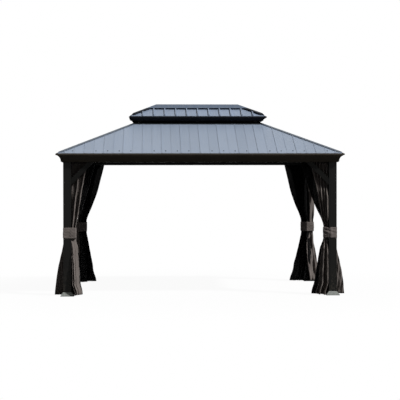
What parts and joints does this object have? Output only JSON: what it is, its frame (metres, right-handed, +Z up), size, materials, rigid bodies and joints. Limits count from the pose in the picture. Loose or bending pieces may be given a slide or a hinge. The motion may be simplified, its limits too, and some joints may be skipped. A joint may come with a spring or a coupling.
{
  "type": "metal gazebo",
  "caption": "Hard-top garden gazebo: square posts with braces, coved eave moulding, seamed hip roof, vented upper roof and curtains tied back at the posts.",
  "frame": {"origin": "on the ground, at the centre of the four posts", "axes": "+X along the long side to the right as seen from the front, +Y from front to rear, +Z up"},
  "size_m": [4.27, 3.05, 2.9278],
  "materials": {
    "frame": "satin",
    "roof": "satin",
    "roof_cap": "satin",
    "foot": "matt",
    "curtain": "woven"
  },
  "bodies": {
    "root": {"post_front_left": "frame", "post_front_right": "frame", "post_rear_left": "frame", "post_rear_right": "frame", "foot_plates": "foot", "foot_covers": "foot", "beam_front": "frame", "beam_rear": "frame", "beam_left": "frame", "beam_right": "frame", "eave_front": "frame", "eave_rear": "frame", "eave_left": "frame", "eave_right": "frame", "curtain_tracks": "frame", "corner_braces": "frame", "hip_rafters": "frame", "rafters": "frame", "vent_ring": "frame", "vent_flashing": "frame", "cupola_frame": "frame", "cupola_rafters": "frame", "roof_front": "roof", "roof_rear": "roof", "roof_left": "roof", "roof_right": "roof", "roof_hip_caps": "roof_cap", "cupola_eave_front": "frame", "cupola_eave_rear": "frame", "cupola_eave_left": "frame", "cupola_eave_right": "frame", "cupola_roof_front": "roof", "cupola_roof_rear": "roof", "cupola_roof_left": "roof", "cupola_roof_right": "roof", "cupola_hip_caps": "roof_cap", "cupola_ridge_cap": "roof_cap", "curtain_front_left": "curtain", "curtain_front_right": "curtain", "curtain_rear_left": "curtain", "curtain_rear_right": "curtain", "tie_front_left": "curtain", "tie_front_right": "curtain", "tie_rear_left": "curtain", "tie_rear_right": "curtain"}
  },
  "joints": []
}
